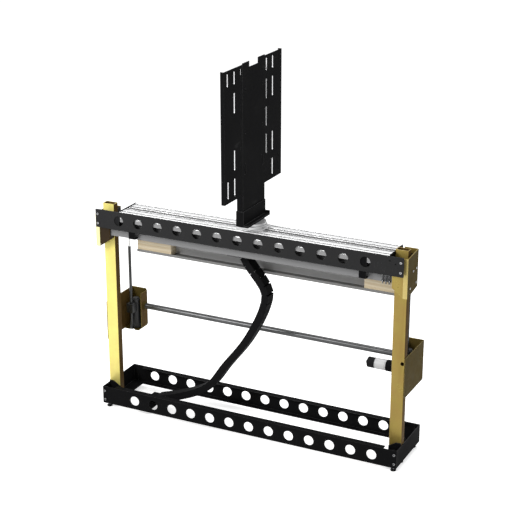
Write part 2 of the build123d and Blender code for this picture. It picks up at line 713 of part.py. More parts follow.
def display_plate(side):
    inner = COL_W / 2 + PLATE_CLEAR
    ya, yb = sorted((HEAD_Y + side * PLATE_Y_OUT, HEAD_Y + side * inner))
    bx(PLATE_X0, PLATE_X0 + PLATE_T, ya, yb, PLATE_Z0, PLATE_Z1)
    fa, fb = sorted((HEAD_Y + side * PLATE_Y_OUT, HEAD_Y + side * (PLATE_Y_OUT - PLATE_T)))
    bx(PLATE_X0 - FOLD, PLATE_X0, fa, fb, PLATE_Z0, PLATE_Z1)
    ga, gb = sorted((HEAD_Y + side * inner, HEAD_Y + side * (inner + PLATE_T)))
    bx(PLATE_X0 - PLATE_FLANGE, PLATE_X0, ga, gb, SLOT_LOW, COL_WALL_Z1 - PLATE_T)
    spots = []
    for c, rows in enumerate((ROWS_IN, ROWS_MID, ROWS_OUT)):
        for r in rows:
            z0 = ROW_Z + r * ROW_PITCH
            y = HEAD_Y + side * (SLOT_IN + c * COL_PITCH)
            spots.append((y, max(z0, SLOT_LOW), min(z0 + ROW_LEN, SLOT_HIGH)))
    long_slots(PLATE_X0 - 1, PLATE_X0 + PLATE_T + 1, spots, SLOT_W)


with BuildPart() as display_plate_left:
    display_plate(-1)
save(display_plate_left, "display_plate_left")

with BuildPart() as display_plate_right:
    display_plate(1)
save(display_plate_right, "display_plate_right")


# Screws
def head_x(x, y, z, s, r=5.5, h=4.0):
    a, b = sorted((x, x + s * h))
    cx(a, b, y, z, r)


def head_y(x, y, z, s, r=5.5, h=4.0):
    a, b = sorted((y, y + s * h))
    cy(x, a, b, z, r)


PLATE_SCREW_X = PLATE_X0 - PLATE_FLANGE / 2
with BuildPart() as plate_screws:
    for side in (-1, 1):
        for z in (PLATE_Z0 + 72, PLATE_Z0 + 272, PLATE_Z0 + 472):
            head_y(PLATE_SCREW_X, HEAD_Y + side * (COL_W / 2 + PLATE_CLEAR + PLATE_T), z, side)
save(plate_screws, "plate_screws")

with BuildPart() as base_screws:
    for s in (-1, 1):
        for z in (BASE_Z0 + 20, BASE_Z1 - 22):
            head_y(s * (X_END - 12), Y_FRONT, z, -1)
            head_y(s * (X_END - 12), Y_REAR, z, 1)
save(base_screws, "base_screws")

with BuildPart() as upper_screws:
    for s in (-1, 1):
        for z in (TOP_Z0 + 20, TOP_Z1 - 22):
            head_y(s * (X_END - 12), Y_FRONT, z, -1)
save(upper_screws, "upper_screws")

with BuildPart() as carriage_screws:
    for s in (-1, 1):
        for y, z in CAR_SCREWS:
            head_x(s * CAR_X, y, z, s, 5, 3)
save(carriage_screws, "carriage_screws")

# Tie bolts that hold the cross rail's right end under the beam
TIE_R = 3.0
TIE_NUT = 5.5
with BuildPart() as tie_bolts:
    for k in range(3):
        tx = GUIDE_IN - 12 - 15 * k
        cz(tx, CROSS_Y0 - 7, CROSS_Z0 - 6, TOP_Z0, TIE_R)
        for nut_z in (CROSS_Z0 + 2, TOP_Z0 - 9):
            hexagon = [(tx + TIE_NUT * math.cos(a), CROSS_Y0 - 7 + TIE_NUT * math.sin(a)) for a in HEX]
            plate_xy(nut_z, nut_z + 6, hexagon)
save(tie_bolts, "tie_bolts")

# Cable chain: hollow links on a hanging curve, cut level under its head plate
HEAD_PLATE_T = 3.0
CHAIN_CUT = CROSS_Z0 - HEAD_PLATE_T - 0.4
CHAIN_WALL = 4.0
CHAIN_HEAD = (0.09 * CHAIN_X0, CROSS_Z0 + 15.0)
CHAIN_SHOULDER = (-0.063 * CHAIN_X0, 752.0)
CHAIN_BEND = (-0.132 * CHAIN_X0, 690.0)
CHAIN_KNEE = (-0.116 * CHAIN_X0, 622.0)
CHAIN_HIP = (-0.043 * CHAIN_X0, 533.0)
CHAIN_MID = (0.09 * CHAIN_X0, 417.0)
CHAIN_LOW = (0.3 * CHAIN_X0, 276.0)
CHAIN_TOE = (0.434 * CHAIN_X0, 184.0)
CHAIN_SOLE = (0.64 * CHAIN_X0, 118.0)
CHAIN_TAIL = (0.86 * CHAIN_X0, 74.0)
CHAIN_END = (CHAIN_X0, 50.0)
UPPER_POINTS = (CHAIN_HEAD, CHAIN_SHOULDER, CHAIN_BEND, CHAIN_KNEE, CHAIN_HIP, CHAIN_MID)
LOWER_POINTS = (CHAIN_LOW, CHAIN_TOE, CHAIN_SOLE, CHAIN_TAIL, CHAIN_END)
path = Edge.make_spline([Vector(x, CHAIN_Y, z) for x, z in UPPER_POINTS + LOWER_POINTS])
LINKS = int(path.length / CHAIN_PITCH)
LINK_L = path.length / LINKS
with BuildPart() as cable_chain:
    for k in range(LINKS):
        u = (k + 0.5) / LINKS
        p = path @ u
        t = path % u
        with Locations(Plane(origin=p, x_dir=(t.X, t.Y, t.Z), z_dir=(-t.Z, 0, t.X))):
            Box(LINK_L - 1.2, CHAIN_W, CHAIN_T)
            Box(LINK_L + 1, CHAIN_W - 2 * CHAIN_WALL, CHAIN_T - 2 * CHAIN_WALL, mode=Mode.SUBTRACT)
    for k in range(1, LINKS):
        p = path @ (k / LINKS)
        for y0 in (CHAIN_Y - CHAIN_W / 2, CHAIN_Y + CHAIN_W / 2 - CHAIN_WALL):
            cy(p.X, y0, y0 + CHAIN_WALL, p.Z, 9)
    bx(CHAIN_X0, -CHAIN_X0, Y_FRONT, Y_REAR, CHAIN_CUT, TOP_Z1, Mode.SUBTRACT)
save(cable_chain, "cable_chain")

# Chain brackets
CHAIN_Y0 = CHAIN_Y - CHAIN_W / 2
CHAIN_Y1 = CHAIN_Y + CHAIN_W / 2
FOOT_TAB = 60.0
TAB_Z1 = BASE_Z0 + 2 * SHEET
with BuildPart() as chain_foot:
    bx(CHAIN_X0 - FOOT_TAB, CHAIN_X0 + 4, Y_FRONT + SHEET, CHAIN_Y1, BASE_Z0 + SHEET, TAB_Z1)
    bx(CHAIN_X0 - FOOT_TAB + 16, CHAIN_X0 - 5, CHAIN_Y0, CHAIN_Y1, TAB_Z1, CHAIN_END[1] + 10)
save(chain_foot, "chain_foot")

with BuildPart() as chain_head:
    bx(CHAIN_HEAD[0] - 45, CHAIN_HEAD[0] + 65, CROSS_Y0, CHAIN_Y1, CROSS_Z0 - HEAD_PLATE_T, CROSS_Z0)
save(chain_head, "chain_head")
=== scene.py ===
import bpy
import bmesh
import json
import math
from mathutils import Matrix, Vector


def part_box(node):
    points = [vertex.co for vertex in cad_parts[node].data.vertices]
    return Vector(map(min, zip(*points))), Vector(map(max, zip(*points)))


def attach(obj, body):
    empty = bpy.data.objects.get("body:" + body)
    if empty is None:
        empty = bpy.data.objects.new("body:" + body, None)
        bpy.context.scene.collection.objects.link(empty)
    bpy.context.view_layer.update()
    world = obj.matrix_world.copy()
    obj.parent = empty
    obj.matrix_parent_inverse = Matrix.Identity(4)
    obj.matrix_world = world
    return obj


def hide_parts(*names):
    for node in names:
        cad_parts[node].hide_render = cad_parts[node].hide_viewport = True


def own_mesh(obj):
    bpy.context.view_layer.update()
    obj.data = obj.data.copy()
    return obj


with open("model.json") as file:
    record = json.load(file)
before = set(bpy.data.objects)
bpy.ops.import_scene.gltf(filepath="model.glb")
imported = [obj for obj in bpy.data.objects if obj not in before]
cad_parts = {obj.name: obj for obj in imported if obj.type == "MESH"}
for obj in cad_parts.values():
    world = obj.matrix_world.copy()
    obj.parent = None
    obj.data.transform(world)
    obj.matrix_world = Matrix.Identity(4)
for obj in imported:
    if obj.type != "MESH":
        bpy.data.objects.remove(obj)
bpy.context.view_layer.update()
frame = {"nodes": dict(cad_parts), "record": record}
nodes = frame["nodes"]
BODY_OF = {name: body for body, names in frame["record"]["behaviour"]["bodies"].items() for name in names}
MM = 0.001


# Shared shader groups
def new_group(name, inputs, outputs):
    g = bpy.data.node_groups.new(name, "ShaderNodeTree")
    for label, kind, value in inputs:
        sock = g.interface.new_socket(name=label, in_out="INPUT", socket_type=kind)
        sock.default_value = value
    for label, kind in outputs:
        g.interface.new_socket(name=label, in_out="OUTPUT", socket_type=kind)
    gi = g.nodes.new("NodeGroupInput")
    go = g.nodes.new("NodeGroupOutput")
    return g, gi, go


def node(tree, kind, **values):
    n = tree.nodes.new(kind)
    for key, value in values.items():
        setattr(n, key, value)
    return n


def link(tree, a, b):
    tree.links.new(a, b)


def ramp(tree, lo, hi, a=(0, 0, 0, 1), b=(1, 1, 1, 1)):
    n = tree.nodes.new("ShaderNodeValToRGB")
    n.color_ramp.elements[0].position = lo
    n.color_ramp.elements[1].position = hi
    n.color_ramp.elements[0].color = a
    n.color_ramp.elements[1].color = b
    return n


def make_grain_group():
    # Coat grain: slow clouds, a fine peel for the height, and scattered dust
    g, gi, go = new_group(
        "coat_grain",
        [("Vector", "NodeSocketVector", (0, 0, 0)), ("Cloud scale", "NodeSocketFloat", 6.0),
         ("Grain scale", "NodeSocketFloat", 900.0)],
        [("Cloud", "NodeSocketFloat"), ("Grain", "NodeSocketFloat"), ("Dust", "NodeSocketFloat")],
    )
    cloud = node(g, "ShaderNodeTexNoise")
    cloud.inputs["Detail"].default_value = 5
    grain = node(g, "ShaderNodeTexNoise")
    grain.inputs["Detail"].default_value = 2
    dust = node(g, "ShaderNodeTexNoise")
    dust.inputs["Scale"].default_value = 60
    dust.inputs["Detail"].default_value = 8
    dust.inputs["Roughness"].default_value = 0.7
    spots = ramp(g, 0.60, 0.78)
    for n in (cloud, grain, dust):
        link(g, gi.outputs["Vector"], n.inputs["Vector"])
    link(g, gi.outputs["Cloud scale"], cloud.inputs["Scale"])
    link(g, gi.outputs["Grain scale"], grain.inputs["Scale"])
    link(g, dust.outputs[0], spots.inputs[0])
    link(g, cloud.outputs[0], go.inputs["Cloud"])
    link(g, grain.outputs[0], go.inputs["Grain"])
    link(g, spots.outputs[0], go.inputs["Dust"])
    return g


def make_drawn_group():
    # Lines left by drawing or turning: Stretch is how fast they change along each axis
    g, gi, go = new_group(
        "drawn_lines",
        [("Vector", "NodeSocketVector", (0, 0, 0)), ("Stretch", "NodeSocketVector", (2, 500, 500))],
        [("Lines", "NodeSocketFloat"), ("Bands", "NodeSocketFloat")],
    )
    mul = node(g, "ShaderNodeVectorMath", operation="MULTIPLY")
    fine = node(g, "ShaderNodeTexNoise")
    fine.inputs["Scale"].default_value = 1.0
    fine.inputs["Detail"].default_value = 3
    wide = node(g, "ShaderNodeTexNoise")
    wide.inputs["Scale"].default_value = 0.12
    wide.inputs["Detail"].default_value = 2
    link(g, gi.outputs["Vector"], mul.inputs[0])
    link(g, gi.outputs["Stretch"], mul.inputs[1])
    for n in (fine, wide):
        link(g, mul.outputs[0], n.inputs["Vector"])
    link(g, fine.outputs[0], go.inputs["Lines"])
    link(g, wide.outputs[0], go.inputs["Bands"])
    return g


def make_handling_group():
    # Rubbed patches and short scuffs, where hands and packing have touched a surface
    g, gi, go = new_group(
        "handling_marks",
        [("Vector", "NodeSocketVector", (0, 0, 0))],
        [("Rubbed", "NodeSocketFloat"), ("Scuffs", "NodeSocketFloat")],
    )
    patch = node(g, "ShaderNodeTexNoise")
    patch.inputs["Scale"].default_value = 9
    patch.inputs["Detail"].default_value = 3
    rubbed_and_lit = ramp(g, 0.50, 0.72)
    slant = node(g, "ShaderNodeMapping")
    slant.inputs["Rotation"].default_value = (0.5, 0.9, 0.3)
    slant.inputs["Scale"].default_value = (340, 9, 60)
    streak = node(g, "ShaderNodeTexNoise")
    streak.inputs["Scale"].default_value = 1
    streak.inputs["Detail"].default_value = 1
    thin = ramp(g, 0.66, 0.74)
    both = node(g, "ShaderNodeMath", operation="MULTIPLY")
    link(g, gi.outputs["Vector"], patch.inputs["Vector"])
    link(g, gi.outputs["Vector"], slant.inputs["Vector"])
    link(g, slant.outputs[0], streak.inputs["Vector"])
    link(g, patch.outputs[0], rubbed_and_lit.inputs[0])
    link(g, streak.outputs[0], thin.inputs[0])
    link(g, rubbed_and_lit.outputs[0], both.inputs[0])
    link(g, thin.outputs[0], both.inputs[1])
    link(g, rubbed_and_lit.outputs[0], go.inputs["Rubbed"])
    link(g, both.outputs[0], go.inputs["Scuffs"])
    return g


GRAIN = make_grain_group()
DRAWN = make_drawn_group()
HANDLED = make_handling_group()


def place_group(tree, group, **values):
    n = node(tree, "ShaderNodeGroup")
    n.node_tree = group
    coord = node(tree, "ShaderNodeTexCoord")
    link(tree, coord.outputs["Object"], n.inputs["Vector"])
    for key, value in values.items():
        n.inputs[key.replace("_", " ")].default_value = value
    return n


def mix_colour(tree, fac, a, b):
    m = node(tree, "ShaderNodeMix", data_type="RGBA")
    link(tree, fac, m.inputs["Factor"])
    for sock, value in ((m.inputs[6], a), (m.inputs[7], b)):
        if isinstance(value, tuple):
            sock.default_value = (*value, 1.0)
        else:
            link(tree, value, sock)
    return m.outputs[2]


def scaled(tree, value, amount):
    m = node(tree, "ShaderNodeMath", operation="MULTIPLY")
    link(tree, value, m.inputs[0])
    m.inputs[1].default_value = amount
    return m.outputs[0]


def added(tree, a, b):
    m = node(tree, "ShaderNodeMath", operation="ADD")
    link(tree, a, m.inputs[0])
    link(tree, b, m.inputs[1])
    return m.outputs[0]


def spread(tree, value, low, high):
    m = node(tree, "ShaderNodeMapRange")
    m.inputs["From Min"].default_value = 0.3
    m.inputs["From Max"].default_value = 0.7
    m.inputs["To Min"].default_value = low
    m.inputs["To Max"].default_value = high
    link(tree, value, m.inputs["Value"])
    return m.outputs["Result"]


def bump(tree, height, strength, distance, shader):
    b = node(tree, "ShaderNodeBump")
    b.inputs["Strength"].default_value = strength
    b.inputs["Distance"].default_value = distance
    link(tree, height, b.inputs["Height"])
    link(tree, b.outputs["Normal"], shader.inputs["Normal"])


def new_material(name, metallic, specular=0.5):
    m = bpy.data.materials.new(name)
    m.use_nodes = True
    shader = m.node_tree.nodes["Principled BSDF"]
    shader.inputs["Metallic"].default_value = metallic
    shader.inputs["Specular IOR Level"].default_value = specular
    return m, m.node_tree, shader


def coated(name, low, high, rough_low, rough_high, specular, dust=0.05, scuff=0.10, grain=1100.0, depth=0.00006):
    # Powder coat, paint or moulded plastic: colour drift, dust, rubbed patches, scuffs and a fine peel
    m, t, sh = new_material(name, 0.0, specular)
    g = place_group(t, GRAIN, Grain_scale=grain)
    h = place_group(t, HANDLED)
    base = mix_colour(t, g.outputs["Cloud"], low, high)
    dusty = tuple(min(1.0, c + dust) for c in high)
    base = mix_colour(t, scaled(t, g.outputs["Dust"], 0.35), base, dusty)
    scuffed = tuple(min(1.0, c + scuff) for c in high)
    link(t, mix_colour(t, scaled(t, h.outputs["Scuffs"], 0.5), base, scuffed), sh.inputs["Base Color"])
    rough = spread(t, g.outputs["Cloud"], rough_low, rough_high)
    link(t, added(t, rough, scaled(t, h.outputs["Rubbed"], -0.07)), sh.inputs["Roughness"])
    bump(t, g.outputs["Grain"], 0.35, depth, sh)
    return m


def drawn_metal(name, low, high, metallic, rough_low, rough_high, stretch, relief=0.06, depth=0.00002):
    m, t, sh = new_material(name, metallic)
    g = place_group(t, DRAWN, Stretch=stretch)
    h = place_group(t, HANDLED)
    link(t, mix_colour(t, spread(t, g.outputs["Bands"], 0, 1), low, high), sh.inputs["Base Color"])
    rough = spread(t, g.outputs["Lines"], rough_low, rough_high)
    link(t, added(t, rough, scaled(t, h.outputs["Rubbed"], 0.06)), sh.inputs["Roughness"])
    bump(t, g.outputs["Lines"], relief, depth, sh)
    return m


def passivated(name, bright, deep, tint, metallic, rough=0.34, specular=0.30):
    # Zinc with a chromate film: slow drifts of straw, green and rose along the sheet, with fine spangle
    m, t, sh = new_material(name, metallic, specular)
    coord = node(t, "ShaderNodeTexCoord")
    stretch = node(t, "ShaderNodeMapping")
    stretch.inputs["Scale"].default_value = (7, 7, 1.6)
    drift = node(t, "ShaderNodeTexNoise")
    drift.inputs["Scale"].default_value = 1.3
    drift.inputs["Detail"].default_value = 4
    drift.inputs["Distortion"].default_value = 0.6
    spangle = node(t, "ShaderNodeTexVoronoi")
    spangle.inputs["Scale"].default_value = 160
    g = place_group(t, GRAIN, Cloud_scale=24.0, Grain_scale=700.0)
    h = place_group(t, HANDLED)
    link(t, coord.outputs["Object"], stretch.inputs["Vector"])
    link(t, coord.outputs["Object"], spangle.inputs["Vector"])
    link(t, stretch.outputs[0], drift.inputs["Vector"])
    film = mix_colour(t, spread(t, drift.outputs[0], 0, 1), bright, deep)
    film = mix_colour(t, scaled(t, spread(t, g.outputs["Cloud"], 0, 1), 0.35), film, tint)
    shade = tuple(c * 0.88 for c in deep)
    film = mix_colour(t, scaled(t, spangle.outputs["Distance"], 0.25), film, shade)
    bare = tuple(min(1.0, c * 1.12 + 0.02) for c in bright)
    link(t, mix_colour(t, scaled(t, h.outputs["Scuffs"], 0.5), film, bare), sh.inputs["Base Color"])
    worn = spread(t, g.outputs["Cloud"], rough - 0.04, rough + 0.08)
    link(t, added(t, worn, scaled(t, h.outputs["Rubbed"], -0.05)), sh.inputs["Roughness"])
    bump(t, g.outputs["Grain"], 0.15, 0.00004, sh)
    return m


def planed_wood(name, pale, dark):
    m, t, sh = new_material(name, 0.0, 0.3)
    coord = node(t, "ShaderNodeTexCoord")
    stretch = node(t, "ShaderNodeMapping")
    stretch.inputs["Scale"].default_value = (3, 26, 26)
    wave = node(t, "ShaderNodeTexWave", wave_type="BANDS", bands_direction="Z")
    wave.inputs["Scale"].default_value = 0.7
    wave.inputs["Distortion"].default_value = 7
    wave.inputs["Detail"].default_value = 3
    fibre = place_group(t, DRAWN, Stretch=(14, 900, 900))
    link(t, coord.outputs["Object"], stretch.inputs["Vector"])
    link(t, stretch.outputs[0], wave.inputs["Vector"])
    rings = mix_colour(t, spread(t, wave.outputs[1], 0.1, 0.9), pale, dark)
    shade = tuple(c * 0.72 for c in dark)
    fine = scaled(t, spread(t, fibre.outputs["Lines"], 0, 1), 0.3)
    link(t, mix_colour(t, fine, rings, shade), sh.inputs["Base Color"])
    link(t, spread(t, fibre.outputs["Lines"], 0.5, 0.68), sh.inputs["Roughness"])
    bump(t, fibre.outputs["Lines"], 0.4, 0.00015, sh)
    return m


BLACK = coated("black_powder_coat", (0.0055, 0.0055, 0.0058), (0.0085, 0.0085, 0.0090), 0.50, 0.62, 0.008, 0.012, 0.025)
BEAM_BLACK = coated("beam_powder_coat", (0.013, 0.013, 0.0135), (0.019, 0.019, 0.0195), 0.42, 0.55, 0.10, 0.02, 0.05)
WORN_BLACK = coated("black_coat_edge", (0.022, 0.022, 0.023), (0.042, 0.042, 0.043), 0.36, 0.48, 0.25, 0.04, 0.08)
MOULDED = coated("black_moulding", (0.008, 0.008, 0.0085), (0.013, 0.013, 0.0135), 0.48, 0.60, 0.05, 0.02, 0.04, 500.0)
CHAIN_BLACK = coated("chain_moulding", (0.006, 0.006, 0.0063), (0.010, 0.010, 0.0105), 0.55, 0.65, 0.01, 0.015, 0.03, 500.0)
# Dark brown copy of the guide strip: painted shadow, used only on the left front guide
SHADOWED_GUIDE = coated("guide_strip_painted_shadow", (0.016, 0.009, 0.0035), (0.036, 0.021, 0.007), 0.40, 0.55, 0.10, 0.12, 0.06)
TRAY_GREY = coated("grey_tray_paint", (0.17, 0.168, 0.165), (0.23, 0.228, 0.225), 0.40, 0.52, 0.25, 0.06, 0.08)
# Pale grey for the tray's inner back panel: painted light, raised against the shade of the beam and rails
TRAY_PAINTED_LIGHT = coated("grey_tray_painted_light", (0.52, 0.518, 0.515), (0.60, 0.598, 0.595), 0.46, 0.58, 0.15, 0.04, 0.06)
EDGE_GREY = coated("grey_tray_edge", (0.36, 0.36, 0.355), (0.46, 0.46, 0.455), 0.34, 0.44, 0.40, 0.06, 0.08)
CAN_WHITE = coated("pale_can_enamel", (0.50, 0.50, 0.505), (0.60, 0.60, 0.605), 0.26, 0.36, 0.45, -0.10, -0.12)
STRAW = passivated("straw_film", (0.78, 0.75, 0.22), (0.74, 0.61, 0.16), (0.70, 0.52, 0.19), 0.35)
PALE_STRAW = passivated("pale_straw_film", (0.82, 0.79, 0.42), (0.78, 0.71, 0.33), (0.75, 0.62, 0.31), 0.35)
# Darker copies of the straw film: painted shade on the right-hand pieces and on the less lit carriage faces
SHADED_STRAW_LIP = passivated("straw_lip_painted_shade", (0.54, 0.45, 0.16), (0.44, 0.35, 0.11), (0.42, 0.28, 0.10), 0.40)
SHADED_STRAW = passivated("straw_film_painted_shade", (0.335, 0.262, 0.062), (0.275, 0.200, 0.045), (0.285, 0.150, 0.055), 0.40, 0.32, 0.20)
# Darkest brown film, used only as painted shade on sides and insides turned away from the light
DEEP_SHADE_FILM = passivated("film_painted_deep_shade", (0.120, 0.076, 0.024), (0.085, 0.050, 0.014), (0.080, 0.035, 0.012), 0.04, 0.40, 0.01)
# Dark olive film: the finish of the lift arms and bearings, and painted shade on bracket faces and right-hand walls
OLIVE_AND_SHADE = passivated("olive_film_and_painted_shade", (0.098, 0.074, 0.020), (0.070, 0.052, 0.013), (0.080, 0.046, 0.014), 0.0, 0.45, 0.01)
FILM_EDGE = passivated("film_edge", (0.60, 0.50, 0.19), (0.46, 0.36, 0.12), (0.42, 0.28, 0.10), 0.60, 0.28)
ALUMINIUM = drawn_metal("anodised_extrusion", (0.74, 0.745, 0.75), (0.90, 0.90, 0.905), 0.80, 0.26, 0.34, (1.2, 260, 260))
# Satin grey: the head slider's finish, and a painted reflection band on the rear rail's top
SATIN_GREY_AND_REFLECTION = drawn_metal("satin_grey_and_painted_reflection", (0.42, 0.42, 0.423), (0.56, 0.56, 0.563), 0.75, 0.30, 0.40, (1.2, 260, 260))
# Painted reflection: a dark band on the front rail's top
LAND_DARK_REFLECTION = drawn_metal("land_painted_dark_reflection", (0.13, 0.13, 0.132), (0.20, 0.20, 0.202), 0.60, 0.34, 0.46, (1.2, 260, 260))
# Mid grey: painted shade on the rail sides and undersides, and the seam grey in the motor can's beads
MILL_GREY_AND_SHADE = drawn_metal("mill_grey_and_painted_shade", (0.20, 0.20, 0.202), (0.32, 0.32, 0.322), 0.35, 0.40, 0.52, (1.2, 420, 420))
CROSS_GREY = drawn_metal("cross_rail_side", (0.11, 0.11, 0.112), (0.17, 0.17, 0.172), 0.30, 0.40, 0.52, (1.2, 260, 260))
# Painted shade inside the rail slots
SLOT_PAINTED_SHADE = drawn_metal("slot_inside_painted_shade", (0.12, 0.12, 0.122), (0.18, 0.18, 0.182), 0.40, 0.42, 0.55, (1.2, 260, 260))
TURNED_ALU = drawn_metal("turned_aluminium", (0.46, 0.462, 0.466), (0.62, 0.622, 0.626), 0.75, 0.28, 0.38, (160, 160, 400))
SHAFT_STEEL = drawn_metal("ground_shaft", (0.050, 0.051, 0.052), (0.085, 0.086, 0.088), 0.60, 0.26, 0.34, (90, 5, 5), 0.02)
GEAR_STEEL = drawn_metal("cut_gear_steel", (0.30, 0.30, 0.305), (0.42, 0.42, 0.425), 1.0, 0.24, 0.34, (260, 60, 60))
# Dark oxide: the finish of the gear case and jack housings, and painted shade inside the screw sockets
OXIDE_AND_SOCKET_SHADE = drawn_metal("dark_oxide_and_painted_socket_shade", (0.010, 0.0105, 0.011), (0.020, 0.0205, 0.021), 0.20, 0.38, 0.50, (240, 240, 4))
TUBE_DARK = drawn_metal("lift_tube_steel", (0.030, 0.031, 0.032), (0.055, 0.056, 0.057), 0.60, 0.26, 0.34, (8, 8, 160))
SCREW_ZINC = drawn_metal("screw_zinc", (0.30, 0.303, 0.31), (0.50, 0.503, 0.51), 0.90, 0.22, 0.32, (90, 90, 90))
ZINC = drawn_metal("bright_zinc", (0.62, 0.63, 0.65), (0.82, 0.83, 0.85), 1.0, 0.18, 0.28, (90, 90, 90))
BOLT_DARK = drawn_metal("dark_bolt_steel", (0.045, 0.046, 0.048), (0.10, 0.101, 0.103), 0.85, 0.18, 0.28, (90, 90, 200))
# Bright slot walls of the display plates: painted light
LIT_SLOT_WALL = drawn_metal("slot_wall_painted_light", (0.66, 0.66, 0.67), (0.84, 0.84, 0.85), 0.70, 0.30, 0.42, (60, 60, 160))
WOOD = planed_wood("pale_planed_wood", (0.78, 0.68, 0.50), (0.66, 0.54, 0.36))


# Pieces
def finished(name, bm, materials, node_name, smooth=True):
    # Put a mesh in the scene in place of a CAD node, on that node's body
    mesh = bpy.data.meshes.new(name)
    bm.to_mesh(mesh)
    bm.free()
    for m in materials:
        mesh.materials.append(m)
    o = bpy.data.objects.new(name, mesh)
    bpy.context.scene.collection.objects.link(o)
    if smooth:
        mesh.shade_smooth()
        mesh.set_sharp_from_angle(angle=math.radians(34))
    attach(o, BODY_OF[node_name])
    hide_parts(node_name)
    return o


def welded(node_name):
    # The node's own shape with its seams welded and its flat faces joined
    bm = bmesh.new()
    bm.from_mesh(nodes[node_name].data)
    bmesh.ops.remove_doubles(bm, verts=bm.verts[:], dist=2e-6)
    bmesh.ops.dissolve_limit(bm, angle_limit=0.008, use_dissolve_boundaries=False, verts=bm.verts[:], edges=bm.edges[:])
    bm.normal_update()
    return bm


def softened(node_name, faces, edge, width=0.6, added_parts=None):
    # Sheet and profile pieces: each face takes the material picked for the side it looks to, which paints light and
    # shade on some pieces, and each corner is eased
    bm = welded(node_name)
    if added_parts:
        added_parts(bm)
    palette = []
    for f in bm.faces:
        m = faces(f.normal, f.calc_center_bounds()) if callable(faces) else faces
        if m not in palette:
            palette.append(m)
        f.material_index = palette.index(m)
        f.smooth = any(len(e.link_faces) == 2 and 0.01 < e.calc_face_angle(0) < 0.6 for e in f.edges)
    palette.append(edge)
    o = finished(node_name + "_finished", bm, palette, node_name, False)
    ease = o.modifiers.new("eased_edges", "BEVEL")
    ease.width = width * MM
    ease.segments = 2
    ease.limit_method = "ANGLE"
    ease.angle_limit = math.radians(36)
    ease.material = len(palette) - 1
    return o


def islands(node_name):
    # Lowest and highest corner of each separate solid of a node
    bm = welded(node_name)
    seen = set()
    found = []
    for first in bm.verts:
        if first in seen:
            continue
        seen.add(first)
        stack = [first]
        lo, hi = first.co.copy(), first.co.copy()
        while stack:
            v = stack.pop()
            lo = Vector(map(min, lo, v.co))
            hi = Vector(map(max, hi, v.co))
            for e in v.link_edges:
                w = e.other_vert(v)
                if w not in seen:
                    seen.add(w)
                    stack.append(w)
        found.append((lo, hi))
    bm.free()
    return found


def merge_into(bm, part, matrix):
    # Add a small part, moved by a matrix, to a larger mesh
    part.transform(matrix)
    carrier = bpy.data.meshes.new("carrier")
    part.to_mesh(carrier)
    part.free()
    bm.from_mesh(carrier)
    bpy.data.meshes.remove(carrier)


TOWARDS = {
    "+X": Matrix.Rotation(math.radians(90), 4, "Y"),
    "-X": Matrix.Rotation(math.radians(-90), 4, "Y"),
    "+Y": Matrix.Rotation(math.radians(-90), 4, "X"),
    "-Y": Matrix.Rotation(math.radians(90), 4, "X"),
    "+Z": Matrix.Identity(4),
}


def turned(profile, steps=40, closed=False, finish=0):
    # A lathe profile of radius and height in millimetres, spun about +Z
    bm = bmesh.new()
    verts = [bm.verts.new((r * MM, 0, h * MM)) for r, h in profile]
    edges = [bm.edges.new(pair) for pair in zip(verts, verts[1:])]
    if closed:
        edges.append(bm.edges.new((verts[-1], verts[0])))
    bmesh.ops.spin(bm, geom=verts + edges, cent=(0, 0, 0), axis=(0, 0, 1), dvec=(0, 0, 0),
                   angle=math.tau, steps=steps, use_merge=True, use_duplicate=False)
    bmesh.ops.remove_doubles(bm, verts=bm.verts[:], dist=1e-6)
    bmesh.ops.recalc_face_normals(bm, faces=bm.faces[:])
    for f in bm.faces:
        f.material_index = finish
    return bm


def hexagon(across, height, chamfer=0.5, finish=0):
    # A hexagonal nut body standing on z = 0
    bm = bmesh.new()
    r = across / math.sqrt(3) * MM
    bmesh.ops.create_cone(bm, cap_ends=True, segments=6, radius1=r, radius2=r, depth=height * MM,
                          matrix=Matrix.Translation((0, 0, height * MM / 2)))
    bmesh.ops.bevel(bm, geom=bm.edges[:], offset=chamfer * MM, offset_type="OFFSET", segments=1,
                    profile=0.5, affect="EDGES", material=-1, clamp_overlap=True)
    for f in bm.faces:
        f.material_index = finish
    return bm


def socket_screw(radius, height):
    # Low screw head on z = 0, with an eased rim and a hexagon socket. Finish 0 is the head, 1 the socket, drawn dark as
    # painted shade in the recess
    sides = 24
    bm = turned([(radius, 0), (radius, height * 0.72), (radius * 0.90, height * 0.95), (radius * 0.80, height)], sides)
    land = [e for e in bm.edges if e.is_boundary and min(v.co.z for v in e.verts) > height * MM * 0.97]
    key = bmesh.ops.create_circle(bm, cap_ends=False, segments=6, radius=radius * 0.50 * MM,
                                  matrix=Matrix.Translation((0, 0, height * MM)))
    rim = list({e for v in key["verts"] for e in v.link_edges})
    bmesh.ops.subdivide_edges(bm, edges=rim, cuts=sides // 6 - 1)
    rim = [e for e in bm.edges if e.is_wire]
    bmesh.ops.bridge_loops(bm, edges=land + rim)
    rim = [e for e in bm.edges if e.is_boundary and min(v.co.z for v in e.verts) > height * MM * 0.97]
    deep = bmesh.ops.extrude_edge_only(bm, edges=rim)["geom"]
    low = [g for g in deep if isinstance(g, bmesh.types.BMVert)]
    bmesh.ops.translate(bm, verts=low, vec=(0, 0, -height * MM * 0.6))
    floor = bmesh.ops.contextual_create(bm, geom=[g for g in deep if isinstance(g, bmesh.types.BMEdge)])["faces"]
    foot = [e for e in bm.edges if e.is_boundary]
    bmesh.ops.contextual_create(bm, geom=foot)
    bmesh.ops.recalc_face_normals(bm, faces=bm.faces[:])
    for f in floor:
        f.material_index = 1
    for f in bm.faces:
        if f.calc_center_bounds().xy.length < radius * 0.49 * MM:
            f.material_index = 1
    return bm


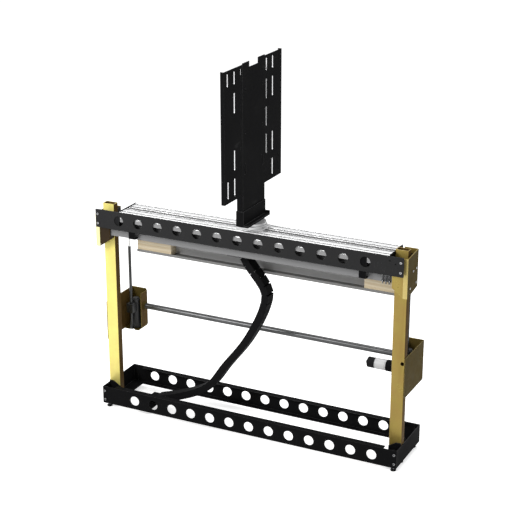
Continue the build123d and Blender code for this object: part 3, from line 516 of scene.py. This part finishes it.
def screw_set(node_name, axis):
    # Screw heads over each solid of a screw node, looking out along the given axis
    bm = bmesh.new()
    k = "XYZ".index(axis)
    for lo, hi in islands(node_name):
        middle = (lo + hi) / 2
        height = (hi[k] - lo[k]) / MM
        radius = (hi[2] - lo[2]) / 2 / MM
        out = 1 if middle[k] > (0.07 if axis == "Y" and abs(middle.x) > 0.1 else 0) else -1
        seat = middle.copy()
        seat[k] = lo[k] if out > 0 else hi[k]
        turn = TOWARDS[("+" if out > 0 else "-") + axis]
        merge_into(bm, socket_screw(radius, height), Matrix.Translation(seat) @ turn)
    return finished(node_name + "_heads", bm, [SCREW_ZINC, OXIDE_AND_SOCKET_SHADE], node_name)


def levelling_feet():
    # Moulded pad, threaded stud and lock nut under each base corner and midway
    bm = bmesh.new()
    for lo, hi in islands("base_feet"):
        spot = Matrix.Translation(((lo.x + hi.x) / 2, (lo.y + hi.y) / 2, 0))
        pad = [(0, 0), (11.4, 0), (12.6, 0.6), (13, 1.6), (13, 5.2), (12.2, 6.6), (9.5, 7.8), (7.2, 9.4), (0, 9.6)]
        merge_into(bm, turned(pad, 36, finish=0), spot)
        ridges = [(0, 9.0)]
        for turn in range(9):
            ridges += [(4.4, 9.2 + turn * 1.4), (5.0, 9.9 + turn * 1.4)]
        ridges += [(4.4, 21.8), (0, 21.9)]
        merge_into(bm, turned(ridges, 20, finish=1), spot)
        merge_into(bm, hexagon(15, 5.5, 0.5, 1), spot @ Matrix.Translation((0, 0, 16.3 * MM)))
    return finished("levelling_feet", bm, [MOULDED, ZINC], "base_feet")


def motor_pieces():
    # Can with rolled beads and a seam line, then the stepped gearbox ring
    cap_lo, cap_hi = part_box("motor_cap")
    lo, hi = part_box("motor_can")
    y, z = (lo[1] + hi[1]) / 2, (lo[2] + hi[2]) / 2
    spot = Matrix.Translation((lo[0], y, z)) @ TOWARDS["+X"]
    r, length = (hi[2] - lo[2]) / 2 / MM, (hi[0] - lo[0]) / MM
    can = [(0, 0), (r - 1.2, 0), (r - 0.4, 0.5), (r - 0.4, 3.0), (r - 0.9, 3.4), (r - 0.9, 4.2), (r, 4.8),
           (r, length - 6.2), (r - 0.7, length - 5.6), (r - 0.7, length - 4.6), (r - 0.2, length - 4.0),
           (r - 0.2, length - 0.6), (r - 1.0, length), (0, length)]
    bm = bmesh.new()
    merge_into(bm, turned(can, 64), spot)
    bm.normal_update()
    for f in bm.faces:
        along = (f.calc_center_bounds().x - lo[0]) / MM
        if abs(f.normal.x) < 0.6 and (3.3 < along < 4.5 or length - 5.7 < along < length - 4.5):
            f.material_index = 1
    finished("motor_can_body", bm, [CAN_WHITE, MILL_GREY_AND_SHADE], "motor_can")
    lo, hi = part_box("motor_ring")
    spot = Matrix.Translation((lo[0], y, z)) @ TOWARDS["+X"]
    r, length = (hi[2] - lo[2]) / 2 / MM, (hi[0] - lo[0]) / MM
    ring = [(5.5, 0), (r - 1.0, 0), (r, 1.0), (r, 7.0), (r - 1.0, 7.6), (r - 1.0, 9.0), (r, 9.6), (r, length - 9.6),
            (r - 1.0, length - 9.0), (r - 1.0, length - 7.6), (r, length - 7.0), (r, length - 1.0),
            (r - 1.0, length), (5.5, length)]
    bm = bmesh.new()
    merge_into(bm, turned(ring, 64, True), spot)
    finished("motor_gear_stage", bm, [BLACK], "motor_ring")


def flanged_bearings():
    # Pressed flange bearings on the inner sides of the drive brackets
    bm = bmesh.new()
    for lo, hi in islands("shaft_bearings"):
        out = "-X" if lo.x > 0 else "+X"
        wall = hi.x if lo.x > 0 else lo.x
        r, length = (hi.z - lo.z) / 2 / MM, (hi.x - lo.x) / MM
        bore = 9.9
        shape = [(bore, 0), (r, 0), (r, 1.6), (r - 0.8, 2.2), (r - 5.0, 2.4), (r - 6.0, 3.2), (r - 6.4, length - 0.8),
                 (r - 7.2, length), (bore, length)]
        place = Matrix.Translation((wall, (lo.y + hi.y) / 2, (lo.z + hi.z) / 2)) @ TOWARDS[out]
        merge_into(bm, turned(shape, 40, True), place)
    return finished("flanged_bearings", bm, [OLIVE_AND_SHADE], "shaft_bearings")


def hole_blanks(bm):
    # Black blanks that close the column's height-setting holes from behind
    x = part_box("column")[1][0] - 2.8 * MM
    for y in (-0.083, 0.083):
        for z in (1.448, 1.629):
            disc = turned([(0, 0), (5.8, 0), (5.8, 1.0), (5.2, 1.3), (0, 1.3)], 24)
            merge_into(bm, disc, Matrix.Translation((x, y, z)) @ TOWARDS["+X"])
        strip = bmesh.new()
        bmesh.ops.create_cube(strip, size=1.0)
        bmesh.ops.scale(strip, vec=(1.3 * MM, 11.6 * MM, 47.6 * MM), verts=strip.verts[:])
        corners = [e for e in strip.edges if abs((e.verts[0].co - e.verts[1].co).normalized().x) > 0.9]
        bmesh.ops.bevel(strip, geom=corners, offset=5.6 * MM, offset_type="OFFSET", segments=8,
                        profile=0.5, affect="EDGES", material=-1, clamp_overlap=True)
        merge_into(bm, strip, Matrix.Translation((x + 0.65 * MM, y, 1.288)))


def linked_chain():
    # The cable chain, with a pin head on each pivot disc
    bm = welded("cable_chain")
    lo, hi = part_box("cable_chain")
    pivots = []
    for f in bm.faces:
        c = f.calc_center_bounds()
        if abs(f.normal.y) > 0.99 and min(c.y - lo[1], hi[1] - c.y) < 0.1 * MM and f.calc_area() < 280 * MM * MM:
            if all((c - other).length > 6 * MM for other in pivots):
                pivots.append(c)
    head = turned([(0, -0.8), (4.4, -0.8), (4.4, -0.5), (3.8, -0.1), (2.2, -0.1), (1.6, -0.4), (0, -0.4)], 16)
    shape = bpy.data.meshes.new("pin_head")
    head.to_mesh(shape)
    head.free()
    for c in pivots:
        pin = bmesh.new()
        pin.from_mesh(shape)
        merge_into(bm, pin, Matrix.Translation(c) @ TOWARDS["+Y" if c.y > (lo[1] + hi[1]) / 2 else "-Y"])
    chain = finished("cable_chain_links", bm, [CHAIN_BLACK], "cable_chain", False)
    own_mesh(chain)


# Which material each side of a sheet piece takes; several of these pick a darker or paler copy by the side a face looks
# to, as painted light and shade
def post_faces(front, side):
    def pick(n, c):
        lo, hi = POST_BOX
        # Painted shade: the inside walls of the tube and the +X side, away from the key light, take the darkest brown
        # film
        if abs(n.z) < 0.5 and lo.x + 0.0025 < c.x < hi.x - 0.0025 and lo.y + 0.0025 < c.y < hi.y - 0.0025:
            return DEEP_SHADE_FILM
        if n.x > 0.7:
            return DEEP_SHADE_FILM
        return front if n.y < -0.7 else side
    return pick


def carriage_faces(lip, wall):
    def pick(n, c):
        if n.y < -0.7 and c.y < -0.055:
            return lip
        # Painted shade: +X walls take the given dark film, faces looking down or inward the darkest film, the other
        # faces a darker straw copy
        if n.x > 0.7:
            return wall
        return SHADED_STRAW if abs(n.y) > 0.7 or n.z > 0.7 or abs(c.x) > 0.762 else DEEP_SHADE_FILM
    return pick


def bracket_faces(wall):
    def pick(n, c):
        # Painted shade by the side a face looks to: the +X wall takes the given dark film, front and top the dark
        # olive, every other side the darkest film
        if n.x > 0.7:
            return wall
        return OLIVE_AND_SHADE if n.y < -0.7 or n.z > 0.7 else DEEP_SHADE_FILM
    return pick


def rail_faces(n, c):
    if n.z > 0.7 and c.z > 0.9985:
        # Painted reflection: the inner top land is dark grey on the front rail and mid grey on the rear one, the rest
        # bright
        return LAND_DARK_REFLECTION if -0.032 < c.y < 0 else SATIN_GREY_AND_REFLECTION if 0 < c.y < 0.032 else ALUMINIUM
    if abs(n.x) > 0.7:
        return ALUMINIUM
    # Painted shade: outer sides and undersides take a darker grey than the top, and slot walls a darker one still
    outer = abs(c.y) > 0.0725 or abs(c.y) < 0.0075
    if (abs(n.y) > 0.7 and outer) or (n.z < -0.7 and c.z < 0.9515):
        return MILL_GREY_AND_SHADE
    return SLOT_PAINTED_SHADE


def tray_faces(n, c):
    # Painted light: front-looking faces high in the tray take the pale grey
    return TRAY_PAINTED_LIGHT if n.y < -0.7 and c.z > 0.80 else TRAY_GREY


def foot_faces(n, c):
    return TURNED_ALU if c.z < 1.0312 else BLACK


def plate_faces(n, c):
    in_slot = abs(n.x) < 0.3 and 0.0168 < c.x < 0.0202 and 1.185 < c.z < 1.735
    # Painted light: the slot walls in these two bands are drawn bright, the others stay black
    rubbed_and_lit = -0.255 < c.y < -0.15 or 0.112 < c.y < 0.20
    return LIT_SLOT_WALL if in_slot and rubbed_and_lit else BLACK


def screw_faces(n, c):
    return ZINC if c.z > 0.7595 else TUBE_DARK


POST_BOXES = {name: [Vector(v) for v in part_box(name)] for name in ("post_left", "post_right")}

POST_BOX = POST_BOXES["post_left"]
softened("post_left", post_faces(STRAW, STRAW), FILM_EDGE, 1.2)
# Painted shade: the right post takes a darker copy of the straw film than the left one
POST_BOX = POST_BOXES["post_right"]
softened("post_right", post_faces(SHADED_STRAW, SHADED_STRAW), FILM_EDGE, 1.2)
softened("carriage_left", carriage_faces(PALE_STRAW, DEEP_SHADE_FILM), FILM_EDGE, 0.6)
# Painted shade: the right carriage's lip takes a darker copy of the straw film
softened("carriage_right", carriage_faces(SHADED_STRAW_LIP, OLIVE_AND_SHADE), FILM_EDGE, 0.6)
softened("drive_bracket_left", bracket_faces(DEEP_SHADE_FILM), FILM_EDGE, 0.6)
softened("drive_bracket_right", bracket_faces(OLIVE_AND_SHADE), FILM_EDGE, 0.6)
# Painted shadow: the left front guide is drawn dark brown, the mirrored right one gold
softened("front_guide_left", SHADOWED_GUIDE, DEEP_SHADE_FILM, 0.8)
# Painted shade: the right front guide takes the darker straw copy
softened("front_guide_right", SHADED_STRAW, FILM_EDGE, 0.8)
softened("lift_arms", OLIVE_AND_SHADE, FILM_EDGE, 0.6)
softened("upper_beam", BEAM_BLACK, WORN_BLACK, 0.6)
for name in ("base_front_beam", "base_rear_beam", "base_end_left", "base_end_right", "corner_gussets", "rail_ends",
             "hangers", "chain_foot", "chain_head"):
    softened(name, BLACK, WORN_BLACK, 0.6)
softened("column", BLACK, WORN_BLACK, 0.6, hole_blanks)
linked_chain()
softened("foot_bracket", foot_faces, WORN_BLACK, 0.6)
softened("display_plate_left", plate_faces, WORN_BLACK, 0.4)
softened("display_plate_right", plate_faces, WORN_BLACK, 0.4)
softened("rail_front", rail_faces, ALUMINIUM, 0.5)
softened("rail_rear", rail_faces, ALUMINIUM, 0.5)
softened("head_slider", SATIN_GREY_AND_REFLECTION, ALUMINIUM, 0.6)
softened("cross_rail", CROSS_GREY, EDGE_GREY, 0.6)
softened("tray", tray_faces, EDGE_GREY, 0.5)
softened("wood_blocks", WOOD, WOOD, 1.4)
softened("gear_case", OXIDE_AND_SOCKET_SHADE, TUBE_DARK, 0.8)
softened("jack_housing_left", OXIDE_AND_SOCKET_SHADE, TUBE_DARK, 0.8)
softened("jack_housing_right", OXIDE_AND_SOCKET_SHADE, TUBE_DARK, 0.8)
softened("tie_bolts", BOLT_DARK, ZINC, 0.4)
softened("rear_guides", MOULDED, WORN_BLACK, 0.8)
softened("beam_spacers", MOULDED, WORN_BLACK, 0.8)
softened("lift_screw_left", screw_faces, ZINC, 0.5)
softened("lift_screw_right", screw_faces, ZINC, 0.5)
screw_set("base_screws", "Y")
screw_set("upper_screws", "Y")
screw_set("carriage_screws", "X")
screw_set("plate_screws", "Y")
levelling_feet()
motor_pieces()
flanged_bearings()

# CAD solids that keep their own shape
KEPT = {
    MOULDED: ("motor_cap",),
    TURNED_ALU: ("turntable",),
    SHAFT_STEEL: ("cross_shaft",),
    GEAR_STEEL: ("shaft_gear", "motor_pinion", "lift_nut_left", "lift_nut_right"),
}
for material, names in KEPT.items():
    for name in names:
        for slot in nodes[name].material_slots:
            slot.link = "OBJECT"
            slot.material = material


# Floor, light and camera
def seen_share(tree):
    # 1 for rays from the camera, a mirror or glass, 0 for the light that falls on the object
    path = node(tree, "ShaderNodeLightPath")
    return added(tree, added(tree, path.outputs["Is Camera Ray"], path.outputs["Is Glossy Ray"]),
                 path.outputs["Is Transmission Ray"])


def floor_sheet():
    bm = bmesh.new()
    bmesh.ops.create_grid(bm, x_segments=1, y_segments=1, size=40)
    mesh = bpy.data.meshes.new("floor")
    bm.to_mesh(mesh)
    bm.free()
    o = bpy.data.objects.new("floor", mesh)
    bpy.context.scene.collection.objects.link(o)
    m, t, sh = new_material("pale_floor", 0.0, 0.0)
    sh.inputs["Base Color"].default_value = (0.93, 0.93, 0.93, 1)
    sh.inputs["Roughness"].default_value = 1.0
    out = t.nodes["Material Output"]
    glow = node(t, "ShaderNodeEmission")
    glow.inputs["Color"].default_value = (1, 1, 1, 1)
    glow.inputs["Strength"].default_value = 0.62
    lit = node(t, "ShaderNodeAddShader")
    pick = node(t, "ShaderNodeMixShader")
    link(t, seen_share(t), pick.inputs[0])
    link(t, sh.outputs[0], pick.inputs[1])
    link(t, sh.outputs[0], lit.inputs[0])
    link(t, glow.outputs[0], lit.inputs[1])
    link(t, lit.outputs[0], pick.inputs[2])
    link(t, pick.outputs[0], out.inputs["Surface"])
    o.data.materials.append(m)


def world_light():
    w = bpy.data.worlds.new("studio")
    bpy.context.scene.world = w
    w.use_nodes = True
    t = w.node_tree
    back = t.nodes["Background"]
    back.inputs["Color"].default_value = (1, 1, 1, 1)
    back.inputs["Strength"].default_value = 0.45
    seen = node(t, "ShaderNodeBackground")
    seen.inputs["Color"].default_value = (1, 1, 1, 1)
    seen.inputs["Strength"].default_value = 1.0
    pick = node(t, "ShaderNodeMixShader")
    link(t, seen_share(t), pick.inputs[0])
    link(t, back.outputs[0], pick.inputs[1])
    link(t, seen.outputs[0], pick.inputs[2])
    link(t, pick.outputs[0], t.nodes["World Output"].inputs["Surface"])


def soft_lamp(name, place, aim, size, power):
    lamp = bpy.data.lights.new(name, "AREA")
    lamp.shape = "SQUARE"
    lamp.size = size
    lamp.energy = power
    o = bpy.data.objects.new(name, lamp)
    bpy.context.scene.collection.objects.link(o)
    o.location = place
    o.rotation_euler = (Vector(aim) - Vector(place)).to_track_quat("-Z", "Y").to_euler()


floor_sheet()
world_light()
soft_lamp("key", (-2.4, -3.6, 3.4), (0, 0, 0.8), 2.0, 190)
soft_lamp("fill", (4.5, -2.5, 2.2), (0, 0, 0.9), 3.0, 12)
soft_lamp("top", (0.3, 1.2, 4.6), (0, 0, 1.0), 2.5, 100)

cam = bpy.data.cameras.new("camera")
cam.sensor_fit = "HORIZONTAL"
cam.sensor_width = 36.0
cam.lens = 1406.56 / 520 * 36.0
camera = bpy.data.objects.new("camera", cam)
bpy.context.scene.collection.objects.link(camera)
camera.location = (2.6309, -5.2220, 2.9796)
camera.rotation_euler = (math.radians(90 - 20.061), math.radians(0.0), math.radians(26.309))
bpy.context.scene.camera = camera
bpy.context.scene.view_settings.view_transform = "Standard"
